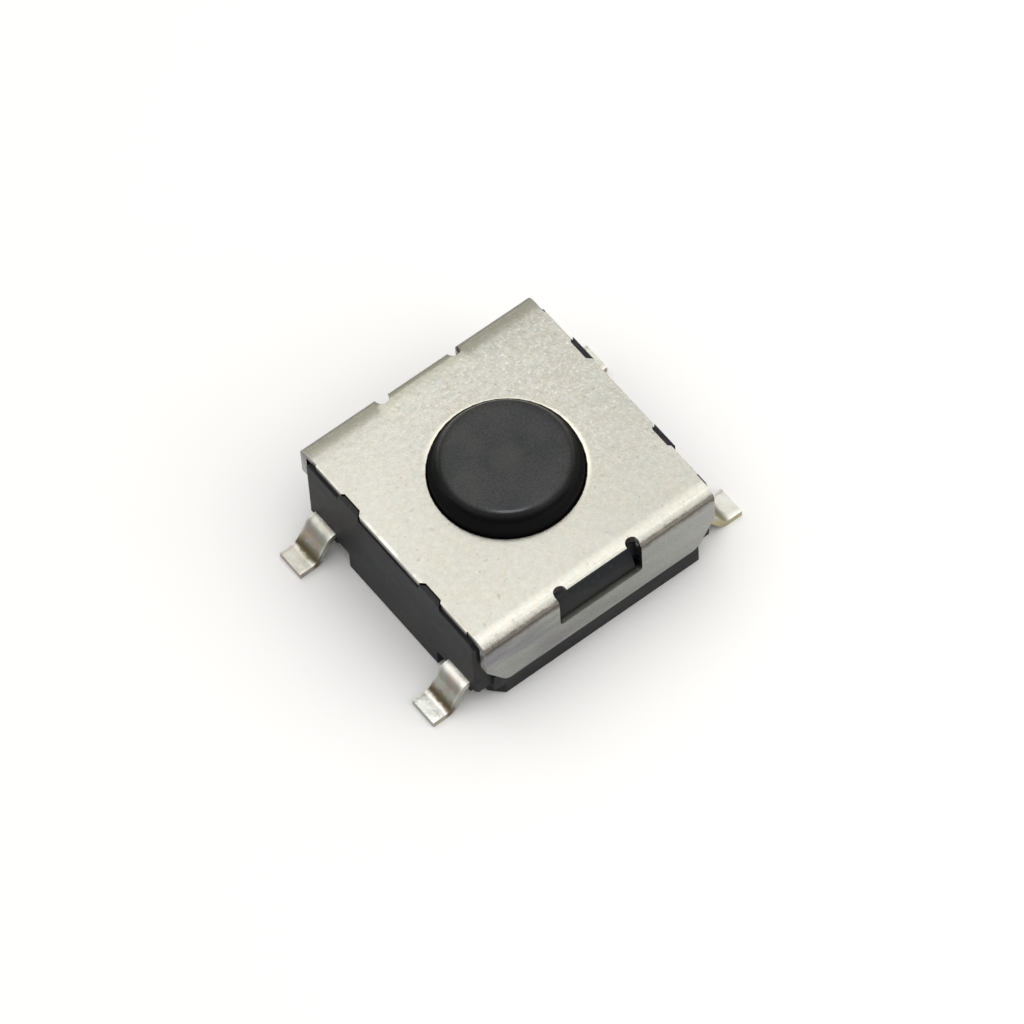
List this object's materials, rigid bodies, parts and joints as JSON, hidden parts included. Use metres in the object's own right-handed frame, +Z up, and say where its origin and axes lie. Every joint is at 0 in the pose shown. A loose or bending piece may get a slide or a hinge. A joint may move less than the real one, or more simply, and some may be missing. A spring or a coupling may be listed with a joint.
{
  "type": "tactile push button switch",
  "caption": "Surface-mount tactile push button with a round key, a folded metal cover latched over a moulded base, and gull-wing leads.",
  "frame": {"origin": "on the circuit board's plane, under the middle of the switch", "axes": "+X across the leads, from the left pair to the right pair; +Y across the two folded flanges of the cover, towards the side of the outer contact's leads; +Z up, away from the board, along which the key stands"},
  "size_m": [0.008, 0.0062, 0.0031],
  "materials": {
    "cover_metal": "satin, finely mottled, as tin-plated or stainless strip",
    "key_plastic": "matt moulded thermoplastic, dark grey",
    "base_plastic": "low-gloss glass-filled thermoplastic, near black",
    "terminal_metal": "bright tin or silver plating over brass strip",
    "dome_steel": "bright rolled spring steel",
    "film": "clear amber polyimide film"
  },
  "bodies": {
    "housing": {"base": "base_plastic", "outer_terminal": "terminal_metal", "centre_terminal": "terminal_metal", "snap_dome": "dome_steel", "insulating_film": "film", "cover": "cover_metal"},
    "key": {"button": "key_plastic"}
  },
  "joints": [
    {"name": "button_press", "type": "slide", "parent": "housing", "child": "key", "axis": [0, 0, -1], "range_m": [0, 0.00025], "stiffness_N_per_m": 6300, "deforming": ["snap_dome", "insulating_film"]}
  ]
}
